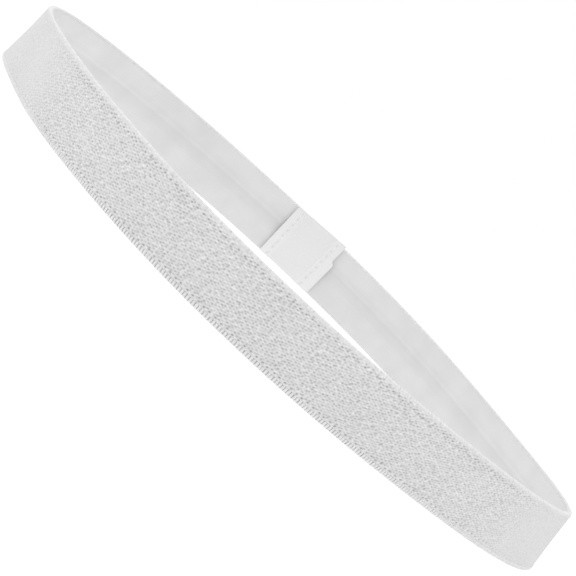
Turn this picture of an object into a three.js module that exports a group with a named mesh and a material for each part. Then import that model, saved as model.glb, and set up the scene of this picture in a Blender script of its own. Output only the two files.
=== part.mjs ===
// Sports sweatband: a narrow ring of white woven elastic that stands on its lower selvage.
// The strip's two ends meet inside the back, under a patch of satin tape sewn across the strip.
// Millimetres, +Z up along the ring's axis, the floor at z = 0, the patch on the +Y side.
import * as THREE from 'three';

// Elastic strip
const BAND_LENGTH = 470; // once round, along the middle of the outer face
const BAND_WIDTH = 15; // from selvage to selvage
const BAND_WALL = 1.3; // thickness of the doubled weave
const SELVAGE_RADIUS = 0.4; // rounding of all four long edges
const CHANNEL_WIDTH = 5; // shallow lengthwise hollow along the middle of the inner face
const CHANNEL_DEPTH = 0.25;
const TUCK_DEPTH = 2; // how far the lower selvage is drawn in at the tuck
const TUCK_TURN = 203; // middle of the tuck, in degrees from +X seen from above
const TUCK_SPREAD = 13.5; // degrees to where the tuck has faded to about a third
const END_GAP = 0.3; // between the strip's two ends
const JOINT_TURN = 93.5; // where the ends meet, in degrees from +X seen from above

// Satin joint patch, a length of tape as wide as the strip
const PATCH_LENGTH = 17.9; // along the strip, at its longer lower part
const PATCH_SHIFT = 0.3; // its middle lies this far past the joint, towards its stepped end
const PATCH_FOOT = 0.15; // its lower edge above the floor
const PATCH_OVERHANG = 0.15; // its upper edge past the strip's, at the straight end
const PATCH_CLIMB = 0.7; // how much higher its upper edge runs at the stepped end
const PATCH_WALL = 0.6; // one layer of tape and its backing
const HEM_WALL = 1.0; // where the tape is turned under
const HEM_LENGTH = 2.6; // how far each end is turned under
const HEM_SLOPE = 0.6; // over which a hem thins to the single layer
const FOLD_RADIUS = 0.4; // rounding of the folded ends
const TAPE_RADIUS = 0.2; // rounding of the tape's long edges
const STEP_LENGTH = 0.95; // the fold's lower part stands out past its upper part
const STEP_DROP = 5.7; // from the tape's upper edge down to that step
const STEP_SLOPE = 0.9; // height over which the fold steps
const PATCH_CLEARANCE = 0.3; // between the strip and the patch

// Steps of the meshes
const BAND_STATIONS = 120;
const PATCH_STATIONS = 14; // along the flat part, between the hems
const EDGE_STEPS = 3; // in each rounded long edge
const CHANNEL_STEPS = 4; // across the hollow
const FOLD_STEPS = 3; // in each folded end
const LENGTH_SAMPLES = 1440; // round the plan, to measure along it

// The soft ring is not quite round. Each row is a wave round the plan: how many crests it has,
// its height as a share of the mean radius, and the turn of one crest in degrees.
const PLAN_WAVES = [
  { crests: 2, share: 0.042, turn: 26 },
  { crests: 3, share: 0.002, turn: -23 },
  { crests: 4, share: 0.021, turn: -6 },
];

// The strip leans in and out on its way round. Each row is a wave of how far the lower edge
// stands out past the upper one, as a share of the strip's width.
const LEAN_WAVES = [
  { crests: 1, share: 0.149, turn: 66 },
  { crests: 2, share: 0.166, turn: 6 },
  { crests: 3, share: 0.069, turn: 38 },
];

const FULL_TURN = 2 * Math.PI;
const radians = THREE.MathUtils.degToRad;

function waveSum(table, turn) {
  return table.reduce(
    (sum, row) => sum + row.share * Math.cos(row.crests * (turn - radians(row.turn))), 0);
}

// How far the lower selvage is drawn in at a turn.
function tuckAt(turn) {
  const away = turn - radians(TUCK_TURN);
  const nearest = Math.atan2(Math.sin(away), Math.cos(away));
  return TUCK_DEPTH * Math.exp(-((nearest / radians(TUCK_SPREAD)) ** 2));
}

// Lengths along a plan of mean radius 1, from the joint once round, one per sample.
function measurePlan() {
  const lengths = [0];
  let last = null;
  for (let i = 0; i <= LENGTH_SAMPLES; i++) {
    const turn = radians(JOINT_TURN) + (FULL_TURN * i) / LENGTH_SAMPLES;
    const radius = 1 + waveSum(PLAN_WAVES, turn);
    const point = new THREE.Vector2(radius * Math.cos(turn), radius * Math.sin(turn));
    if (last) {
      lengths.push(lengths[i - 1] + point.distanceTo(last));
    }
    last = point;
  }
  return lengths;
}

const planLengths = measurePlan();
const meanRadius = BAND_LENGTH / planLengths[LENGTH_SAMPLES];

// The turn at a length along the strip. Zero is the joint, and lengths wrap round.
function turnAt(along) {
  const length = THREE.MathUtils.euclideanModulo(along, BAND_LENGTH) / meanRadius;
  let low = 0;
  let high = LENGTH_SAMPLES;
  while (high - low > 1) {
    const middle = Math.floor((low + high) / 2);
    if (planLengths[middle] > length) {
      high = middle;
    } else {
      low = middle;
    }
  }
  const rest = (length - planLengths[low]) / (planLengths[high] - planLengths[low]);
  return radians(JOINT_TURN) + (FULL_TURN * (low + rest)) / LENGTH_SAMPLES;
}

// A point of the strip: along it from the joint, up its width, and in from its outer face.
function stripPoint(along, up, inward) {
  const turn = turnAt(along);
  const share = up / BAND_WIDTH;
  const lean = BAND_WIDTH * waveSum(LEAN_WAVES, turn);
  const climb = Math.sqrt(BAND_WIDTH ** 2 - lean ** 2);
  const outerRadius = meanRadius * (1 + waveSum(PLAN_WAVES, turn))
    + lean * (0.5 - share) - tuckAt(turn) * (1 - share);
  const radius = outerRadius - inward;
  return new THREE.Vector3(radius * Math.cos(turn), radius * Math.sin(turn), share * climb);
}

// A quarter round about a corner's centre, from one quarter turn to the next.
function quarterRound(x, y, radius, firstQuarter) {
  const points = [];
  for (let i = 0; i <= EDGE_STEPS; i++) {
    const angle = (firstQuarter + i / EDGE_STEPS) * 0.5 * Math.PI;
    points.push(new THREE.Vector2(x + radius * Math.cos(angle), y + radius * Math.sin(angle)));
  }
  return points;
}

// The section of a flat strip with rounded edges: x inward from its outer side and y up, round
// from the top of the outer side. Both sides have a point at each row's height, and the inner
// side is sunk there by the row's depth.
function stripSection(height, wall, edgeRadius, rows) {
  const r = Math.min(edgeRadius, wall / 3);
  return [
    ...quarterRound(r, height - r, r, 1),
    ...rows.map((row) => new THREE.Vector2(0, row.up)).reverse(),
    ...quarterRound(r, r, r, 2),
    ...quarterRound(wall - r, r, r, 3),
    ...rows.map((row) => new THREE.Vector2(wall - row.depth, row.up)),
    ...quarterRound(wall - r, height - r, r, 0),
  ];
}

// One closed body through sections of equally many points. Each end face is a ladder of quads
// between the section's two sides.
function loft(sections) {
  const count = sections[0].length;
  const index = [];
  const addQuad = (a, b, c, d) => index.push(a, b, c, a, c, d);
  for (let i = 0; i + 1 < sections.length; i++) {
    for (let k = 0; k < count; k++) {
      const a = i * count + k;
      const b = i * count + ((k + 1) % count);
      addQuad(a, b, b + count, a + count);
    }
  }
  const last = (sections.length - 1) * count;
  for (let k = 0; k + 1 < count / 2; k++) {
    const opposite = count - 1 - k;
    addQuad(k, opposite, opposite - 1, k + 1);
    addQuad(last + k, last + k + 1, last + opposite - 1, last + opposite);
  }
  const positions = sections.flat().flatMap((point) => point.toArray());
  const geometry = new THREE.BufferGeometry();
  geometry.setAttribute('position', new THREE.Float32BufferAttribute(positions, 3));
  geometry.setIndex(index);
  geometry.computeVertexNormals();
  return geometry;
}

function makeElasticBand() {
  const rows = [];
  for (let i = 0; i <= CHANNEL_STEPS; i++) {
    const across = i / CHANNEL_STEPS - 0.5;
    rows.push({
      up: BAND_WIDTH / 2 + across * CHANNEL_WIDTH,
      depth: CHANNEL_DEPTH * Math.cos(across * Math.PI) ** 2,
    });
  }
  const section = stripSection(BAND_WIDTH, BAND_WALL, SELVAGE_RADIUS, rows);
  const clothLength = BAND_LENGTH - END_GAP;
  const sections = [];
  for (let i = 0; i <= BAND_STATIONS; i++) {
    const along = END_GAP / 2 + (clothLength * i) / BAND_STATIONS;
    sections.push(section.map((point) => stripPoint(along, point.y, point.x)));
  }
  return loft(sections);
}

// Distances from a folded end to the patch's sections, from the fold to the end of the hem.
function hemStations() {
  const stations = [];
  for (let i = 0; i <= FOLD_STEPS; i++) {
    stations.push(FOLD_RADIUS * (1 - Math.cos((0.5 * Math.PI * i) / FOLD_STEPS)));
  }
  stations.push(HEM_LENGTH - HEM_SLOPE / 2, HEM_LENGTH + HEM_SLOPE / 2);
  return stations;
}

// Thickness of the patch at a distance from its nearer end. The fold's inner side is rounded.
function patchWall(fromEnd) {
  const singleLayer = THREE.MathUtils.smoothstep(
    fromEnd, HEM_LENGTH - HEM_SLOPE / 2, HEM_LENGTH + HEM_SLOPE / 2);
  const wall = THREE.MathUtils.lerp(HEM_WALL, PATCH_WALL, singleLayer);
  const beforeRound = Math.max(0, 1 - fromEnd / FOLD_RADIUS);
  return wall - FOLD_RADIUS * (1 - Math.sqrt(1 - beforeRound ** 2));
}

// Sections run from the stepped end to the straight end, across the joint. The step pulls the
// upper part in.
function makeJointPatch() {
  const hem = hemStations();
  const flatStart = hem[hem.length - 1];
  const flatLength = PATCH_LENGTH - 2 * flatStart;
  const stations = [...hem];
  for (let i = 1; i < PATCH_STATIONS; i++) {
    stations.push(flatStart + (flatLength * i) / PATCH_STATIONS);
  }
  stations.push(...hem.map((distance) => PATCH_LENGTH - distance).reverse());

  const straightHeight = BAND_WIDTH + PATCH_OVERHANG - PATCH_FOOT;
  const stepMiddle = straightHeight + PATCH_CLIMB - STEP_DROP;
  const stepFoot = stepMiddle - STEP_SLOPE / 2;
  const stepHead = stepMiddle + STEP_SLOPE / 2;
  const rows = [{ up: stepFoot, depth: 0 }, { up: stepHead, depth: 0 }];

  return loft(stations.map((station) => {
    const wall = patchWall(Math.min(station, PATCH_LENGTH - station));
    const fromStraightEnd = 1 - station / PATCH_LENGTH;
    const height = straightHeight + PATCH_CLIMB * fromStraightEnd;
    return stripSection(height, wall, TAPE_RADIUS, rows).map((point) => {
      const upperPart = THREE.MathUtils.smoothstep(point.y, stepFoot, stepHead);
      const fromJoint = station - PATCH_LENGTH / 2 - PATCH_SHIFT;
      const along = fromJoint + upperPart * STEP_LENGTH * fromStraightEnd;
      return stripPoint(along, PATCH_FOOT + point.y, BAND_WALL + PATCH_CLEARANCE + point.x);
    });
  }));
}

const elasticWhite = new THREE.MeshStandardMaterial({ color: 0xf0f0ef, roughness: 0.95 });
const satinWhite = new THREE.MeshStandardMaterial({ color: 0xf8f8f6, roughness: 0.6 });

const elasticBand = new THREE.Mesh(makeElasticBand(), elasticWhite);
elasticBand.name = 'elastic_band';

const jointPatch = new THREE.Mesh(makeJointPatch(), satinWhite);
jointPatch.name = 'joint_patch';

// The whole band's box is centred on the vertical axis.
const sweatband = new THREE.Group();
sweatband.add(elasticBand, jointPatch);
const middle = new THREE.Box3().setFromObject(sweatband).getCenter(new THREE.Vector3());
sweatband.position.set(-middle.x, -middle.y, 0);

export default sweatband;
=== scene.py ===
"""Looks of a sports sweatband: a narrow ring of white woven elastic with a satin patch inside.

Every piece is modelled on the strip as it lies flat, and then laid round the ring. Flat, X runs
along the strip from its joint, Y from its outer face inwards, and Z up its width. Lengths in the
settings below are in millimetres, and Blender's own are in metres.
"""

import math

import bpy
import numpy as np
from mathutils import Matrix


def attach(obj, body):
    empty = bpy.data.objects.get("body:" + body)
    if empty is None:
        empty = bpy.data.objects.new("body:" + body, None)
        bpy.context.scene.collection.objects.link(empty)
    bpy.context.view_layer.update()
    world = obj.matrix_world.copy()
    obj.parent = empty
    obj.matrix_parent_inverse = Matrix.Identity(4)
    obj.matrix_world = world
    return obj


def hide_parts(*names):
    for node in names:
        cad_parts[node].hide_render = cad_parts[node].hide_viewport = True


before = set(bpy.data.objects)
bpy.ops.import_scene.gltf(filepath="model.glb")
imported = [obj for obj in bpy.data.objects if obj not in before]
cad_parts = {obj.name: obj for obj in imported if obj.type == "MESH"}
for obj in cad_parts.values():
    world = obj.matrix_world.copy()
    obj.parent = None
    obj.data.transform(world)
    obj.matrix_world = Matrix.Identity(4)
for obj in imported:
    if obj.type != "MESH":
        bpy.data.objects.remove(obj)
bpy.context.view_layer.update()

MM = 0.001
NEAR = 0.01  # places closer together than this count as one
ALONG, INWARD, UP = 0, 1, 2  # the axes of the flat strip

# The strip and the ring that it makes, as in the part's source
BAND_LENGTH = 470
BAND_WIDTH = 15
BAND_WALL = 1.3
TUCK_DEPTH = 2
TUCK_TURN = 203
TUCK_SPREAD = 13.5
JOINT_TURN = 93.5
RING_MIDDLE = (0.405, -0.508)  # the middle of the ring's box, before it was centred
PLAN_WAVES = ((2, 0.042, 26), (3, 0.002, -23), (4, 0.021, -6))  # crests, share, turn
LEAN_WAVES = ((1, 0.149, 66), (2, 0.166, 6), (3, 0.069, 38))
LENGTH_SAMPLES = 1440

# The weave
PICKS = 656  # weft picks round the ring, one selvage loop each
PICK = BAND_LENGTH / PICKS
PIT_PITCH = 0.588  # between the pits of one column
FIRST_PIT = 1.6  # height of the lowest row of pits, along the selvage
PIT_ROWS = 23  # repeats of the weave up the strip
REPEAT_STEPS = (8, 4)  # mesh steps in one repeat of the weave, along and up
PIT_DEPTH = 0.18
PIT_SPREAD = (0.225, 0.17)  # half width of a pit, along and up
PIT_SLANT = 0.12  # the yarns cross a little askew, which slants a pit
PIT_STRENGTH = (0.45, 0.55, 1.2)  # the least, how much is added at most, and how seldom
PIT_WANDER = 0.08
ROW_SHIFT = 0.045  # the rows of pits lie this far to one side and the other, by turns
EDGE_PIT = 1.25  # strength of the wider pits along each selvage
PEBBLE_RISE = 0.06
PEBBLE_SPREAD = (0.24, 0.16)
PEBBLE_SWELL = (0.2, 1.1)  # the least and the most
# Painted shade in the weave's pits and painted light on its pebbles' tops, as shares of the cloth's
# colour ramp
FLANK_SHADE = 0.3  # painted shade on a pebble's flank, from 0 on its top to 1 deep in a pit
PIT_SHADE = 0.53
PEBBLE_LIGHT = 0.3
CALM = 0.75  # how much smoother the weave is at the tight turns

# Stretches of the strip at the ring's tight turns, from its front: where each starts to count,
# counts in full, starts to fade and has faded
CALM_TURNS = ((-150, -130, -78, -56), (62, 84, 130, 150))
# Where the inner face is painted lighter, at the tight turn on the left
PAINTED_LIGHT_TURN = (-185, -145, -78, -56)

# The pebbled skin and the core under it
SKIN_FACE = 0.05  # the skin between pits and pebbles, in from the strip's outer face
SKIN_BACK = 0.4
SKIN_LEAST = 0.05  # how thick the skin stays under a pit
GROOVE_DEPTH = 0.3  # the groove outside, where the strip's ends meet
GROOVE_SPREAD = 0.35
CORE_FACE = 0.36  # the core's outer side, under the skin
CORE_MARGIN = 0.12  # the core's edges stop this short of the loops
CORE_ROUND = 0.42
HOLLOWS = ((7.6, 1.9, 0.25), (8.4, 0.45, 0.06), (6.1, 0.45, 0.04))  # height, spread, depth
HOLLOW_CUTS = 30
SHARP_ANGLE = 80  # degrees, past which an edge is shaded sharp

# The selvage loops
LOOP_SIDES = 6
LOOP_STEPS = 4  # in the turn round the edge
LOOP_HALF_WALL = 0.12
LOOP_INSET = 0.09  # a loop's middle, in from either face of the strip
LOOP_BEND = 0.43  # height where the loop starts to turn round the edge
LOOP_TUCK = (0, 0.25, 0.22)  # how the leg on the outer face ends inside the cloth
LOOP_END = (0, -0.2, 0.45)  # and the one on the inner face
LOOP_WANDER = 0.02
UPPER_STAND = 0.22  # how far the upper selvage's loops stand out past the strip's plain edge

# The satin patch
PATCH_LENGTH = 17.9
PATCH_SHIFT = 0.3  # its middle lies this far past the joint, towards its stepped end
PATCH_FOOT = 0.15
PATCH_OVERHANG = 0.15
PATCH_CLIMB = 0.7
PATCH_STEPS = (96, 84)  # mesh steps, along and up
STEP_LENGTH = 0.95
STEP_DROP = 5.7
STEP_SLOPE = 0.9
TAPE_WALL = 0.28
TAPE_TOP = 2.3  # middle of the tape's upper layer over a hem, in from the outer face
TAPE_UNDER = 1.52  # middle of the layer that is turned under
TAPE_SINK = 0.34  # how much lower the tape lies between its hems
TAPE_WAVES = ((0.05, 0.9, 0.35, 0), (0.04, 0.47, -0.8, 1))  # rise, turn a mm up, along, start
FOLD_STEPS = 5
HEM_LENGTH = 2.4
HEM_STEPS = 4
HEM_SLOPE = 0.9

# Its stitches
SEAM_PLACES = (6.4, -6.0)  # the two rows of stitches, from the joint
SEAM_TO_HEM = 0.5  # from a row of stitches to the edge that it holds down
SEAM_DEPTH = 0.12  # how far a row of stitches draws the tape down
SEAM_SPREAD = 0.5
HOLE_DEPTH = 0.2
HOLE_SPREAD = 0.3
HOLE_POWER = 4  # the higher, the shorter a hole is up the row
STITCH_PITCH = 1.9
STITCH_ROW = (0.85, 14.35)  # the row's ends, up the strip
STITCH_SHARE = 0.8  # how much of the pitch one stitch covers
STITCH_RADIUS = 0.13
STITCH_SIDES = 8
STITCH_CUTS = 5
STITCH_RISE = 0.06  # how high a stitch's middle rises
STITCH_DIVE = 0.3  # how deep its ends dive
STITCH_TAPER = 0.35
STITCH_SINK = 0.02  # how deep a row of stitches lies in its face
STITCH_WANDER = 0.05

# Camera, fitted to the photograph's outlines
CAMERA_PLACE = (-0.405, -359.379, 46.742)
CAMERA_DOWN = 6.478  # degrees below level
CAMERA_ROLL = 44.393  # degrees, which lays the ring from upper left to lower right
CAMERA_LENS = 104.82
CAMERA_SENSOR = 36

# Materials and lights
NOISE_SPAN = (0.3, 0.7)  # where nearly all values of a noise texture lie
WAVE_BANDS = 20  # bands of a wave texture of scale 1, in a length of 2 pi
THREAD_TWIST = (35, 0.25)  # lean of the plies in degrees, and their pitch
SOFTBOX_SIDE = 0.9  # in metres
WORLD_LIGHT = 0.47
FLOOR_DROP = 0.02

rng = np.random.default_rng(15)


# Camera
camera = bpy.data.objects.new("camera", bpy.data.cameras.new("camera"))
bpy.context.scene.collection.objects.link(camera)
camera.data.lens = CAMERA_LENS
camera.data.sensor_width = CAMERA_SENSOR
camera.data.clip_start = 10 * MM
camera.data.clip_end = 50
aim = Matrix.Rotation(math.radians(90 - CAMERA_DOWN), 3, "X")
roll = Matrix.Rotation(math.radians(CAMERA_ROLL), 3, "Z")
camera.rotation_euler = (aim @ roll).to_euler()
camera.location = [place * MM for place in CAMERA_PLACE]
bpy.context.scene.camera = camera


# Tools for modelling
def work_on(piece):
    """Makes the piece the only selected one and the active one."""
    bpy.ops.object.select_all(action="DESELECT")
    piece.select_set(True)
    bpy.context.view_layer.objects.active = piece


def start_piece(name, primitive, scale=(1, 1, 1), **settings):
    """Adds a primitive at its size and place, and names it."""
    bpy.ops.object.select_all(action="DESELECT")
    primitive(**settings)
    piece = bpy.context.object
    piece.scale = scale
    bpy.ops.object.transform_apply(location=True, rotation=True, scale=True)
    piece.name = name
    piece.data.name = name
    return piece


def smooth_step(value, low, high):
    share = np.clip((value - low) / (high - low), 0, 1)
    return share * share * (3 - 2 * share)


def hump(value, middle, spread):
    """A soft hump, 1 in the middle and fading to 0 on both sides."""
    return np.exp(-(((value - middle) / spread) ** 2))


def points_of(piece):
    """The piece's points in millimetres, one row each."""
    points = np.empty(len(piece.data.vertices) * 3, np.float32)
    piece.data.vertices.foreach_get("co", points)
    return points.reshape(-1, 3).astype(float) / MM


def place_points(piece, points):
    """Moves the piece's points to these places in millimetres."""
    piece.data.vertices.foreach_set("co", (points * MM).astype(np.float32).ravel())
    piece.data.update()


def edit(piece, kind, chosen):
    """Opens the piece in edit mode with the chosen points, edges or faces selected."""
    work_on(piece)
    mesh = piece.data
    lists = {"points": mesh.vertices, "edges": mesh.edges, "faces": mesh.polygons}
    for items in lists.values():
        items.foreach_set("select", np.zeros(len(items), bool))
    lists[kind].foreach_set("select", np.asarray(chosen, bool))
    bpy.context.tool_settings.mesh_select_mode = [kind == name for name in lists]
    bpy.ops.object.mode_set(mode="EDIT")


def done():
    bpy.ops.object.mode_set(mode="OBJECT")


def edge_ends(piece):
    """Both end points of every edge, in millimetres."""
    ends = np.empty(len(piece.data.edges) * 2, np.int32)
    piece.data.edges.foreach_get("vertices", ends)
    points = points_of(piece)
    return points[ends[0::2]], points[ends[1::2]]


def edge_spans(piece, axis):
    """How far every edge reaches along an axis."""
    a, b = edge_ends(piece)
    return abs(a[:, axis] - b[:, axis])


def edges_at(piece, axis, place):
    """Which edges lie wholly at one place on an axis."""
    a, b = edge_ends(piece)
    return (abs(a[:, axis] - place) < NEAR) & (abs(b[:, axis] - place) < NEAR)


def extrude(shift):
    """Extrudes the selected edges or faces by a shift in millimetres."""
    bpy.ops.mesh.extrude_region_move(
        TRANSFORM_OT_translate={"value": [length * MM for length in shift]}
    )


def repeat(piece, count, shift, merged=True):
    """Copies the piece in a row, merged where the copies meet."""
    work_on(piece)
    bpy.ops.object.modifier_add(type="ARRAY")
    array = piece.modifiers[-1]
    array.count = count
    array.use_relative_offset = False
    array.use_constant_offset = True
    array.constant_offset_displace = [length * MM for length in shift]
    array.use_merge_vertices = merged
    array.merge_threshold = NEAR * MM
    bpy.ops.object.modifier_apply(modifier=array.name)


def map_cloth(piece):
    """A UV map that gives each point's place on the flat strip, in millimetres."""
    mesh = piece.data
    while mesh.uv_layers:
        mesh.uv_layers.remove(mesh.uv_layers[0])
    layer = mesh.uv_layers.new(name="cloth")
    corners = np.empty(len(mesh.loops), np.int32)
    mesh.loops.foreach_get("vertex_index", corners)
    flat = points_of(piece)[corners]
    layer.data.foreach_set("uv", flat[:, [ALONG, UP]].astype(np.float32).ravel())


def give_attribute(piece, name, values):
    attribute = piece.data.attributes.new(name, "FLOAT", "POINT")
    attribute.data.foreach_set("value", np.asarray(values, np.float32))


# The ring
def wave_sum(waves, turn):
    return sum(
        share * np.cos(crests * (turn - math.radians(peak))) for crests, share, peak in waves
    )


def measure_plan():
    """Turns round the plan from the joint, and the length along the strip at each."""
    turns = math.radians(JOINT_TURN) + np.linspace(0, 2 * math.pi, LENGTH_SAMPLES + 1)
    radius = 1 + wave_sum(PLAN_WAVES, turns)
    steps = np.hypot(np.diff(radius * np.cos(turns)), np.diff(radius * np.sin(turns)))
    lengths = np.concatenate([[0], np.cumsum(steps)])
    mean_radius = BAND_LENGTH / lengths[-1]
    return turns, lengths * mean_radius, mean_radius


PLAN_TURNS, PLAN_LENGTHS, MEAN_RADIUS = measure_plan()
FRONT = float(np.interp(math.radians(270), PLAN_TURNS, PLAN_LENGTHS))


def lay_round_ring(piece):
    """Takes the flat piece round the ring, by the same rule as the part's source."""
    along, inward, up = points_of(piece).T
    turn = np.interp(np.mod(along, BAND_LENGTH), PLAN_LENGTHS, PLAN_TURNS)
    share = up / BAND_WIDTH
    lean = BAND_WIDTH * wave_sum(LEAN_WAVES, turn)
    climb = np.sqrt(BAND_WIDTH**2 - lean**2)
    away = turn - math.radians(TUCK_TURN)
    nearest = np.arctan2(np.sin(away), np.cos(away))
    tuck = TUCK_DEPTH * hump(nearest, 0, math.radians(TUCK_SPREAD))
    outer = MEAN_RADIUS * (1 + wave_sum(PLAN_WAVES, turn)) + lean * (0.5 - share)
    radius = outer - tuck * (1 - share) - inward
    x = radius * np.cos(turn) - RING_MIDDLE[0]
    y = radius * np.sin(turn) - RING_MIDDLE[1]
    place_points(piece, np.stack([x, y, share * climb], axis=1))


def inside_stretch(along, stretch):
    """How far a place on the strip counts as inside a stretch, from 0 to 1."""
    start, full, fading, end = (FRONT + place for place in stretch)
    return smooth_step(along, start, full) - smooth_step(along, fading, end)


def finish_piece(piece, material):
    """Lays the flat piece round the ring, smooth, with its material and its body."""
    map_cloth(piece)
    lay_round_ring(piece)
    piece.data.materials.append(material)
    work_on(piece)
    bpy.ops.object.shade_smooth_by_angle(angle=math.radians(SHARP_ANGLE))
    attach(piece, "root")


# Tools for materials. A value or colour is passed on as a pair, its node and the output's name
def linear(hex_colour):
    """An sRGB hex colour turned linear, with full alpha."""
    parts = [int(hex_colour[i : i + 2], 16) / 255 for i in (1, 3, 5)]
    return [p / 12.92 if p <= 0.04045 else ((p + 0.055) / 1.055) ** 2.4 for p in parts] + [1]


def add_node(tree, kind, settings=None, links=None):
    """Adds a node, sets its properties and sockets, and links sockets from (node, output)."""
    node = tree.nodes.new(kind)
    for key, value in (settings or {}).items():
        if isinstance(key, int) or key in node.inputs:
            node.inputs[key].default_value = value
        else:
            setattr(node, key, value)
    for key, (source, output) in (links or {}).items():
        tree.links.new(source.outputs[output], node.inputs[key])
    return node


def start_material(name):
    material = bpy.data.materials.new(name)
    material.use_nodes = True
    material.node_tree.nodes.clear()
    return material, material.node_tree


def start_cloth(name):
    """A material, its tree, and the place on the flat strip in millimetres."""
    material, tree = start_material(name)
    return material, tree, (add_node(tree, "ShaderNodeUVMap", {"uv_map": "cloth"}), "UV")


def finish_material(tree, settings, links):
    """The surface, and the material's output."""
    surface = add_node(tree, "ShaderNodeBsdfPrincipled", settings, links)
    add_node(tree, "ShaderNodeOutputMaterial", links={"Surface": (surface, "BSDF")})


def read_attribute(tree, name):
    return add_node(tree, "ShaderNodeAttribute", {"attribute_name": name}), "Fac"


def drawn_out(tree, place, along, up):
    """The place on the cloth at another scale each way, which draws a pattern out."""
    settings = {"Scale": (along, up, 1.0)}
    return add_node(tree, "ShaderNodeMapping", settings, {"Vector": place}), "Vector"


def flat_noise(tree, place, scale, detail):
    """Noise over the flat cloth. Its grains are one millimetre wide at scale 1."""
    settings = {"noise_dimensions": "2D", "Scale": scale, "Detail": detail}
    return add_node(tree, "ShaderNodeTexNoise", settings, {"Vector": place}), "Fac"


def ridges(tree, place, direction, pitch, crooked=0.0):
    """Ridges over the flat cloth, one to every pitch, straight or a little crooked."""
    settings = {
        "bands_direction": direction,
        "Scale": 2 * math.pi / WAVE_BANDS / pitch,
        "Distortion": crooked,
        "Detail": 1.0,
        "Detail Scale": 2.0,
    }
    return add_node(tree, "ShaderNodeTexWave", settings, {"Vector": place}), "Fac"


def remap(tree, value, first, last, span=(0.0, 1.0)):
    """Turns a value that runs over a span into one that runs from first to last."""
    settings = {"From Min": span[0], "From Max": span[1], "To Min": first, "To Max": last}
    return add_node(tree, "ShaderNodeMapRange", settings, {"Value": value}), "Result"


def ramp(tree, value, stops):
    """A colour ramp over a value. Each stop is a place and a hex colour."""
    node = add_node(tree, "ShaderNodeValToRGB", links={0: value})
    band = node.color_ramp
    while len(band.elements) < len(stops):
        band.elements.new(0.5)
    for element, (place, hex_colour) in zip(band.elements, stops):
        element.position = place
        element.color = linear(hex_colour)
    return node, "Color"


def multiply(tree, first, second):
    settings = {"operation": "MULTIPLY"}
    return add_node(tree, "ShaderNodeMath", settings, {0: first, 1: second}), "Value"


def tint(tree, colour, tone):
    """The colour, lighter or darker by a tone."""
    settings = {"operation": "SCALE"}
    return add_node(tree, "ShaderNodeVectorMath", settings, {0: colour, "Scale": tone}), "Vector"


def bump(tree, height, strength, distance):
    """The relief of a fine pattern, as high as a distance in millimetres."""
    settings = {"Strength": strength, "Distance": distance * MM}
    return add_node(tree, "ShaderNodeBump", settings, {"Height": height}), "Normal"


# Materials
def woven_polyester_elastic():
    """Polyester yarns woven over rubber: matt white pebbles, with painted grey shade between them
    and painted light on their tops.
    """
    material, tree, cloth = start_cloth("woven_polyester_elastic")
    # Painted light and shade: light yarn on the pebbles' tops, its flanks, and painted shade at the
    # bottom of a pit
    painted_shade = read_attribute(tree, "painted_shade")
    shade = ramp(tree, painted_shade, ((0.0, "#F6F6F6"), (0.3, "#E0E0E0"), (0.95, "#909090")))
    # Yarns differ a little from pebble to pebble, every 0.7 mm
    pebbles = flat_noise(tree, cloth, scale=1.4, detail=1.0)
    pebble_tone = remap(tree, pebbles, first=0.95, last=1.03, span=NOISE_SPAN)
    # Broad clouding of the cloth, 12 mm across
    clouds = flat_noise(tree, cloth, scale=0.08, detail=2.0)
    cloud_tone = remap(tree, clouds, first=0.985, last=1.01, span=NOISE_SPAN)
    # Filaments of the yarn, 0.07 mm apart and running along the strip
    stretch = drawn_out(tree, cloth, along=2.5, up=14.0)
    filaments = flat_noise(tree, stretch, scale=1.0, detail=2.0)
    finish_material(
        tree,
        {
            "Roughness": 0.92,
            "IOR": 1.5,
            "Specular IOR Level": 0.3,
            "Sheen Weight": 0.08,
            "Sheen Roughness": 0.6,
        },
        {
            "Base Color": tint(tree, shade, multiply(tree, pebble_tone, cloud_tone)),
            "Normal": bump(tree, filaments, strength=0.5, distance=0.03),
        },
    )
    return material


def plain_woven_backing():
    """The inner face, of finer yarns woven plain: smooth to the skin, with a faint grain."""
    material, tree, cloth = start_cloth("plain_woven_backing")
    # Ribs both ways, one to a pick, drawn as coarse as they need to show
    across = ridges(tree, cloth, "X", PICK, crooked=0.6)
    upward = ridges(tree, cloth, "Y", PICK, crooked=0.6)
    grain = multiply(tree, across, upward)
    grain_tone = remap(tree, grain, first=0.988, last=1.005)
    # Clouding of the cloth, 8 mm across
    clouds = flat_noise(tree, cloth, scale=0.12, detail=3.0)
    cloud_tone = remap(tree, clouds, first=0.965, last=1.02, span=NOISE_SPAN)
    # Painted light: the inner face is painted whiter over the tight turn on the left
    painted_light_tone = remap(tree, read_attribute(tree, "painted_light"), first=1.0, last=1.05)
    tone = multiply(tree, multiply(tree, grain_tone, cloud_tone), painted_light_tone)
    # Painted shade along the hollow in the middle of the strip, darkest at 8.4 mm up, with a thin
    # lighter line at 9.1 mm
    place = add_node(tree, "ShaderNodeSeparateXYZ", links={0: cloth})
    height = remap(tree, (place, "Y"), first=0.0, last=1.0, span=(0.0, float(BAND_WIDTH)))
    painted_hollow_shade = ((4.8, "#E1E1E1"), (6.2, "#DEDEDE"), (8.4, "#DBDBDB"))
    painted_hollow_shade += ((9.1, "#E1E1E1"), (9.7, "#DEDEDE"), (11.0, "#E1E1E1"))
    yarn = ramp(tree, height, [(up / BAND_WIDTH, hex_colour) for up, hex_colour in painted_hollow_shade])
    finish_material(
        tree,
        {
            "Roughness": 0.9,
            "IOR": 1.5,
            "Specular IOR Level": 0.3,
            "Sheen Weight": 0.05,
            "Sheen Roughness": 0.6,
        },
        {
            "Base Color": tint(tree, yarn, tone),
            "Normal": bump(tree, grain, strength=0.25, distance=0.02),
        },
    )
    return material


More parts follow.
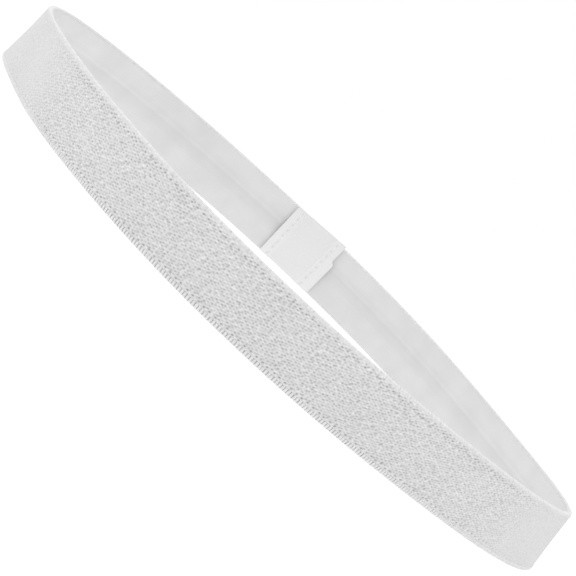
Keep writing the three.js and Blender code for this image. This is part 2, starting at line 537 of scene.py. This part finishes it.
def satin_polyester_tape():
    """Satin-woven tape: long floats side by side make it smooth, bright and softly glossy."""
    material, tree, cloth = start_cloth("satin_polyester_tape")
    # Floats along the tape, 0.12 mm apart
    stretch = drawn_out(tree, cloth, along=0.9, up=8.0)
    floats = flat_noise(tree, stretch, scale=1.0, detail=2.0)
    shade = ramp(tree, floats, ((0.3, "#E8E8E8"), (0.7, "#EDEDED")))
    # Painted shade at each needle hole, where the floats part
    hole_shade_tone = remap(tree, read_attribute(tree, "needle_hole_shade"), first=1.0, last=0.92)
    # Where the tape lies doubled less light gets through it, so its hems look whiter
    hem_tone = remap(tree, read_attribute(tree, "doubled"), first=0.975, last=1.0)
    finish_material(
        tree,
        {"IOR": 1.5, "Specular IOR Level": 0.4, "Sheen Weight": 0.1},
        {
            "Base Color": tint(tree, shade, multiply(tree, hole_shade_tone, hem_tone)),
            "Normal": bump(tree, floats, strength=0.3, distance=0.02),
            "Roughness": remap(tree, floats, first=0.52, last=0.42, span=NOISE_SPAN),
        },
    )
    return material


def spun_polyester_thread():
    """Two-ply sewing thread: white, with the plies' twist as fine slanting ridges."""
    material, tree, cloth = start_cloth("spun_polyester_thread")
    lean, pitch = THREAD_TWIST
    settings = {"Rotation": (0.0, 0.0, math.radians(lean))}
    leaning = add_node(tree, "ShaderNodeMapping", settings, {"Vector": cloth})
    twist = ridges(tree, (leaning, "Vector"), "Y", pitch)
    finish_material(
        tree,
        {"Roughness": 0.7, "IOR": 1.5, "Specular IOR Level": 0.35},
        {
            "Base Color": ramp(tree, twist, ((0.0, "#E6E6E5"), (0.6, "#F6F6F5"))),
            "Normal": bump(tree, twist, strength=0.6, distance=0.04),
        },
    )
    return material


elastic_white = woven_polyester_elastic()
backing_white = plain_woven_backing()
satin_white = satin_polyester_tape()
thread_white = spun_polyester_thread()


# The core of the strip: its smooth inner face and its rounded edges, modelled one pick long
def hollow_depth(up):
    """How deep the lengthwise hollow of the inner face is at a height up the strip."""
    return sum(depth * hump(up, height, spread) for height, spread, depth in HOLLOWS)


def make_core():
    core = start_piece(
        "elastic_strip",
        bpy.ops.mesh.primitive_cube_add,
        size=1,
        location=(PICK / 2 * MM, (CORE_FACE + BAND_WALL) / 2 * MM, BAND_WIDTH / 2 * MM),
        scale=(PICK * MM, (BAND_WALL - CORE_FACE) * MM, (BAND_WIDTH - 2 * CORE_MARGIN) * MM),
    )
    edit(core, "edges", edge_spans(core, ALONG) > PICK / 2)
    bpy.ops.mesh.bevel(offset=CORE_ROUND * MM, segments=3, affect="EDGES")
    done()
    # Rows across the inner face, for its hollow
    upright = edge_spans(core, UP) > BAND_WIDTH / 2
    edit(core, "edges", upright & edges_at(core, INWARD, BAND_WALL))
    bpy.ops.mesh.subdivide(number_cuts=HOLLOW_CUTS)
    done()
    # Both ends are open, so that the slices make one ring
    normals = np.array([face.normal for face in core.data.polygons])
    edit(core, "faces", abs(normals[:, ALONG]) > 0.9)
    bpy.ops.mesh.delete(type="FACE")
    done()
    points = points_of(core)
    inner = points[:, INWARD] > BAND_WALL - NEAR
    points[inner, INWARD] -= hollow_depth(points[inner, UP])
    place_points(core, points)
    repeat(core, PICKS, (PICK, 0, 0))
    # The inner face is painted lighter over the tight turn on the left
    give_attribute(core, "painted_light", inside_stretch(points_of(core)[:, ALONG], PAINTED_LIGHT_TURN))
    return core


elastic_strip = make_core()
finish_piece(elastic_strip, backing_white)
edit(elastic_strip, "points", np.ones(len(elastic_strip.data.vertices)))
bpy.ops.mesh.remove_doubles(threshold=NEAR * MM)
bpy.ops.mesh.normals_make_consistent(inside=False)
done()
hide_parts("elastic_band")


# The pebbled skin: a weft pick's yarn rises and dips between the pits
least, added, seldom = PIT_STRENGTH
pit_strength = least + added * rng.uniform(0, 1, (PICKS, PIT_ROWS + 1)) ** seldom
pit_wander = rng.normal(0, PIT_WANDER, (2, PICKS, PIT_ROWS + 1))
pebble_swell = rng.uniform(*PEBBLE_SWELL, (PICKS, PIT_ROWS + 1))


def weave_relief(along, up):
    """How deep each point of the outer face lies in a pit, and how high on a pebble, both from 0."""
    pits = np.zeros(len(along))
    pebbles = np.zeros(len(along))
    pit_long, pit_high = PIT_SPREAD
    pebble_long, pebble_high = PEBBLE_SPREAD
    nearest_column = np.round(along / PICK).astype(int)
    for side in (-1, 0, 1):
        column = nearest_column + side
        odd = column % 2
        base = FIRST_PIT + odd * PIT_PITCH / 2
        nearest_row = np.round((up - base) / PIT_PITCH).astype(int)
        for step in (-1, 0, 1):
            row = nearest_row + step
            drawn = (column % PICKS, np.clip(row, 0, PIT_ROWS))
            wander_along = pit_wander[0][drawn]
            wander_up = pit_wander[1][drawn]
            aside = ROW_SHIFT * np.where(row % 2 == 0, 1, -1)
            x = column * PICK + aside + wander_along
            z = base + row * PIT_PITCH + wander_up
            # A row of wider pits runs along each selvage, one to every second pick
            edge = ((row == 0) & (odd == 0)) | ((row == PIT_ROWS - 3) & (odd == 1))
            size = np.where(edge, EDGE_PIT, pit_strength[drawn])
            pit = hump(along, x, pit_long) * hump(up - PIT_SLANT * (along - x), z, pit_high)
            pits += np.where((row >= 0) & (row < PIT_ROWS - 1), size * pit, 0)
            # A pebble lies between two pits of a column
            pebble_up = base + (row + 0.5) * PIT_PITCH + wander_along
            pebble = hump(along, column * PICK + wander_up, pebble_long)
            pebbles += pebble_swell[drawn] * pebble * hump(up, pebble_up, pebble_high)
    return pits, pebbles


def make_skin(name, first_pick, picks):
    steps_along, steps_up = REPEAT_STEPS
    low = FIRST_PIT - 3 * PIT_PITCH / steps_up
    skin = start_piece(
        name,
        bpy.ops.mesh.primitive_grid_add,
        x_subdivisions=steps_along,
        y_subdivisions=steps_up,
        size=1,
        location=((first_pick + 1) * PICK * MM, SKIN_FACE * MM, (low + PIT_PITCH / 2) * MM),
        rotation=(math.pi / 2, 0, 0),
        scale=(2 * PICK * MM, PIT_PITCH * MM, 1),
    )
    repeat(skin, picks // 2, (2 * PICK, 0, 0))
    repeat(skin, PIT_ROWS, (0, 0, PIT_PITCH))
    # Its long edges turn in, and a plain back and two ends close it
    for height in (low, low + PIT_ROWS * PIT_PITCH):
        edit(skin, "edges", edges_at(skin, UP, height))
        extrude((0, SKIN_BACK - SKIN_FACE, 0))
        done()
    edit(skin, "edges", edges_at(skin, INWARD, SKIN_BACK))
    bpy.ops.mesh.bridge_edge_loops()
    done()
    for end in (first_pick * PICK, (first_pick + picks) * PICK):
        edit(skin, "edges", edges_at(skin, ALONG, end))
        bpy.ops.mesh.edge_face_add()
        done()
    points = points_of(skin)
    along, inward, up = points.T
    face = inward < SKIN_BACK - NEAR
    calm = 1 - CALM * sum(inside_stretch(along, turn) for turn in CALM_TURNS)
    pits, pebbles = [relief * calm for relief in weave_relief(along, up)]
    groove = GROOVE_DEPTH * hump(np.minimum(along, BAND_LENGTH - along), 0, GROOVE_SPREAD)
    sunk = np.minimum(PIT_DEPTH * pits + groove, SKIN_BACK - SKIN_FACE - SKIN_LEAST)
    points[face, INWARD] += (sunk - PEBBLE_RISE * pebbles)[face]
    # Painted shade, deeper in each pit, and painted light on each pebble's top
    painted_shade = np.clip(FLANK_SHADE + PIT_SHADE * pits - PEBBLE_LIGHT * pebbles, 0, 1)
    give_attribute(skin, "painted_shade", np.where(face, painted_shade, FLANK_SHADE))
    place_points(skin, points)
    return skin


third = PICKS // 6 * 2  # an even number of picks, as a repeat of the weave has two
for name, first_pick, picks in (
    ("pebbled_face_left", 0, third),
    ("pebbled_face_front", third, PICKS - 2 * third),
    ("pebbled_face_right", PICKS - third, third),
):
    skin = make_skin(name, first_pick, picks)
    finish_piece(skin, elastic_white)
    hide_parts("elastic_band")


# The selvages: the weft yarn turns back round each long edge, one loop to a pick
def make_selvage(name, upper, half_width, leg, shade):
    """Loops of a half width, with a leg on the outer face and a painted shade from 0 to 1."""
    loops = start_piece(
        name,
        bpy.ops.mesh.primitive_circle_add,
        vertices=LOOP_SIDES,
        radius=1,
        location=(0, LOOP_INSET * MM, LOOP_BEND * MM),
        scale=(half_width * MM, LOOP_HALF_WALL * MM, 1),
    )
    # The leg on the outer face, tucked in at its end
    edit(loops, "edges", np.ones(len(loops.data.edges)))
    extrude((0, 0, leg))
    extrude(LOOP_TUCK)
    bpy.ops.mesh.edge_face_add()
    done()
    # The turn round the edge
    edit(loops, "edges", edges_at(loops, UP, LOOP_BEND))
    bpy.ops.mesh.spin(
        steps=LOOP_STEPS,
        angle=math.pi,
        center=(0, BAND_WALL / 2 * MM, LOOP_BEND * MM),
        axis=(-1, 0, 0),
    )
    extrude(LOOP_END)
    bpy.ops.mesh.edge_face_add()
    done()
    points = points_of(loops)
    under = points[:, UP] < LOOP_BEND - NEAR
    reach = LOOP_BEND + (UPPER_STAND if upper else 0)
    stretch = reach / (LOOP_BEND - points[:, UP].min())
    points[under, UP] = LOOP_BEND + (points[under, UP] - LOOP_BEND) * stretch
    points[:, ALONG] += PICK / 2
    if upper:
        points[:, UP] = BAND_WIDTH - points[:, UP]
    place_points(loops, points)
    edit(loops, "faces", np.ones(len(loops.data.polygons)))
    bpy.ops.mesh.normals_make_consistent(inside=False)
    done()
    repeat(loops, PICKS, (PICK, 0, 0), merged=False)
    # Yarns are never quite even
    points = points_of(loops)
    points[:, ALONG] += np.repeat(rng.normal(0, LOOP_WANDER, PICKS), len(points) // PICKS)
    place_points(loops, points)
    # The loops' painted shade, set for each selvage
    give_attribute(loops, "painted_shade", np.full(len(points), shade))
    return loops


# Each selvage's loops get their own painted shade
lower_selvage = make_selvage(
    "lower_selvage_loops", upper=False, half_width=0.345, leg=0.6, shade=0.15
)
finish_piece(lower_selvage, elastic_white)
upper_selvage = make_selvage(
    "upper_selvage_loops", upper=True, half_width=0.4, leg=0.04, shade=0.26
)
finish_piece(upper_selvage, elastic_white)


# The satin patch: a length of tape with both ends turned under
def make_patch():
    fold = (TAPE_TOP - TAPE_UNDER) / 2
    flat = PATCH_LENGTH - 2 * fold
    height = BAND_WIDTH + PATCH_OVERHANG - PATCH_FOOT
    steps_along, steps_up = PATCH_STEPS
    patch = start_piece(
        "satin_patch",
        bpy.ops.mesh.primitive_grid_add,
        x_subdivisions=steps_along,
        y_subdivisions=steps_up,
        size=1,
        location=(-PATCH_SHIFT * MM, TAPE_TOP * MM, height / 2 * MM),
        rotation=(-math.pi / 2, 0, 0),
        scale=(flat * MM, height * MM, 1),
    )
    for side in (-1, 1):
        end = side * flat / 2 - PATCH_SHIFT
        edit(patch, "edges", edges_at(patch, ALONG, end))
        bpy.ops.mesh.spin(
            steps=FOLD_STEPS,
            angle=math.pi,
            center=(end * MM, (TAPE_TOP + TAPE_UNDER) / 2 * MM, 0),
            axis=(0, 0, -side),
        )
        for _ in range(HEM_STEPS):
            extrude((-side * HEM_LENGTH / HEM_STEPS, 0, 0))
        done()
    points = points_of(patch)
    along, inward, up = points.T
    upper_layer = inward > TAPE_TOP - NEAR
    # The upper edge climbs towards the stepped end, and the step draws the upper part in
    from_straight = np.clip(0.5 - (along + PATCH_SHIFT) / PATCH_LENGTH, 0, 1)
    raised = up * (height + PATCH_CLIMB * from_straight) / height
    step_middle = height + PATCH_CLIMB - STEP_DROP
    upper_part = smooth_step(raised, step_middle - STEP_SLOPE / 2, step_middle + STEP_SLOPE / 2)
    place = along + upper_part * STEP_LENGTH * from_straight
    # Between its hems the tape lies lower, in soft waves
    left, right = SEAM_PLACES
    left_hem = smooth_step(place, left - SEAM_TO_HEM - HEM_SLOPE, left - SEAM_TO_HEM)
    right_hem = 1 - smooth_step(place, right + SEAM_TO_HEM, right + SEAM_TO_HEM + HEM_SLOPE)
    middle = 1 - left_hem - right_hem
    waves = sum(
        rise * np.sin(up * turn_up + place * turn_along + start)
        for rise, turn_up, turn_along, start in TAPE_WAVES
    )
    lowered = (TAPE_SINK + waves) * middle
    # A row of stitches draws the tape down, most at each needle hole
    holes = np.zeros(len(points))
    from_row = PATCH_FOOT + raised - STITCH_ROW[0]
    hole = np.cos(math.pi * from_row / STITCH_PITCH) ** HOLE_POWER
    for seam in SEAM_PLACES:
        holes += hole * hump(place, seam, HOLE_SPREAD)
        lowered += SEAM_DEPTH * hump(place, seam, SEAM_SPREAD)
    lowered += HOLE_DEPTH * holes
    points[:, ALONG] = place
    points[:, INWARD] -= np.where(upper_layer, lowered, 0)
    points[:, UP] = PATCH_FOOT + raised
    place_points(patch, points)
    # How much painted shade each needle hole gets in the satin's colour
    give_attribute(patch, "needle_hole_shade", np.where(upper_layer, holes, 0))
    give_attribute(patch, "doubled", 1 - middle)
    work_on(patch)
    bpy.ops.object.modifier_add(type="SOLIDIFY")
    patch.modifiers[-1].thickness = TAPE_WALL * MM
    patch.modifiers[-1].offset = 0
    bpy.ops.object.modifier_apply(modifier=patch.modifiers[-1].name)
    return patch


satin_patch = make_patch()
finish_piece(satin_patch, satin_white)
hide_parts("joint_patch")


# Stitches, modelled once: a short thread that dives into the cloth at both ends
def make_stitches(name, inward, out):
    """Both rows of stitches on one side of the strip. out is +1 inside the ring, -1 outside."""
    first = STITCH_ROW[0] + STITCH_PITCH / 2  # the middle of the lowest stitch
    length = STITCH_PITCH * STITCH_SHARE
    stitch = start_piece(
        name,
        bpy.ops.mesh.primitive_cylinder_add,
        vertices=STITCH_SIDES,
        radius=STITCH_RADIUS * MM,
        depth=length * MM,
        location=(0, 0, first * MM),
    )
    edit(stitch, "edges", edge_spans(stitch, UP) > length / 2)
    bpy.ops.mesh.subdivide(number_cuts=STITCH_CUTS)
    done()
    points = points_of(stitch)
    to_end = ((points[:, UP] - first) / (length / 2)) ** 4
    points[:, INWARD] += out * (STITCH_RISE - STITCH_DIVE * to_end)
    points[:, [ALONG, INWARD]] *= (1 - STITCH_TAPER * to_end)[:, None]
    place_points(stitch, points)
    count = int((STITCH_ROW[1] - STITCH_ROW[0]) / STITCH_PITCH + 0.5)
    repeat(stitch, count, (0, 0, STITCH_PITCH))
    row = points_of(stitch)
    nearest = np.round((row[:, UP] - first) / STITCH_PITCH).astype(int)
    work_on(stitch)
    bpy.ops.object.duplicate()
    second = bpy.context.object
    for piece, place in zip((stitch, second), SEAM_PLACES):
        moved = row.copy()
        moved[:, ALONG] += place + rng.normal(0, STITCH_WANDER, count + 1)[nearest]
        moved[:, INWARD] += inward
        place_points(piece, moved)
    stitch.select_set(True)
    second.select_set(True)
    bpy.context.view_layer.objects.active = stitch
    bpy.ops.object.join()
    return stitch


inner_stitches = make_stitches("patch_stitches", TAPE_TOP - STITCH_SINK, 1)
finish_piece(inner_stitches, thread_white)
outer_stitches = make_stitches("outer_stitches", SKIN_FACE + STITCH_SINK, -1)
finish_piece(outer_stitches, thread_white)


# Stage
def opal_acrylic():
    """Sand-blasted opal acrylic of a shooting table, lit from below: matt, even and white."""
    material, tree = start_material("opal_acrylic")
    place = add_node(tree, "ShaderNodeTexCoord")
    blasting = add_node(
        tree, "ShaderNodeTexNoise", {"Scale": 60.0, "Detail": 3.0}, {"Vector": (place, "Object")}
    )
    finish_material(
        tree,
        {
            "Roughness": 1.0,
            "Specular IOR Level": 0.1,
            "Emission Color": linear("#FFFFFF"),
            "Emission Strength": 0.86,
        },
        {"Base Color": ramp(tree, (blasting, "Fac"), ((0.3, "#828282"), (0.7, "#858585")))},
    )
    return material


floor = start_piece("floor", bpy.ops.mesh.primitive_plane_add, size=12)
floor.location.z = -FLOOR_DROP * MM
floor.data.materials.append(opal_acrylic())


def add_softbox(name, place, power):
    """A soft box at a place in metres, turned towards the ring."""
    light = bpy.data.objects.new(name, bpy.data.lights.new(name, "AREA"))
    light.data.shape = "RECTANGLE"
    light.data.size = SOFTBOX_SIDE
    light.data.size_y = SOFTBOX_SIDE
    light.data.energy = power
    bpy.context.scene.collection.objects.link(light)
    light.location = place
    way = -light.location
    light.rotation_euler = way.to_track_quat("-Z", "Y").to_euler()


add_softbox("left_softbox", (-1.15, -0.35, 0.45), power=1.55)
add_softbox("right_softbox", (1.1, -0.4, 0.5), power=1.35)

overhead = bpy.data.objects.new("overhead_diffuser", bpy.data.lights.new("overhead", "SUN"))
overhead.data.energy = 2.0
overhead.data.angle = math.radians(90)
overhead.rotation_euler = (math.radians(5), math.radians(-3), 0)
bpy.context.scene.collection.objects.link(overhead)

# The world lights the ring softly, and the camera sees it pure white
world = bpy.data.worlds.new("studio_white")
world.use_nodes = True
tree = world.node_tree
tree.nodes.clear()
path = add_node(tree, "ShaderNodeLightPath")
strength = remap(tree, (path, "Is Camera Ray"), first=WORLD_LIGHT, last=1.0)
sky = add_node(
    tree, "ShaderNodeBackground", {"Color": linear("#FFFFFF")}, {"Strength": strength}
)
add_node(tree, "ShaderNodeOutputWorld", links={"Surface": (sky, "Background")})
bpy.context.scene.world = world
bpy.context.scene.view_settings.view_transform = "Standard"
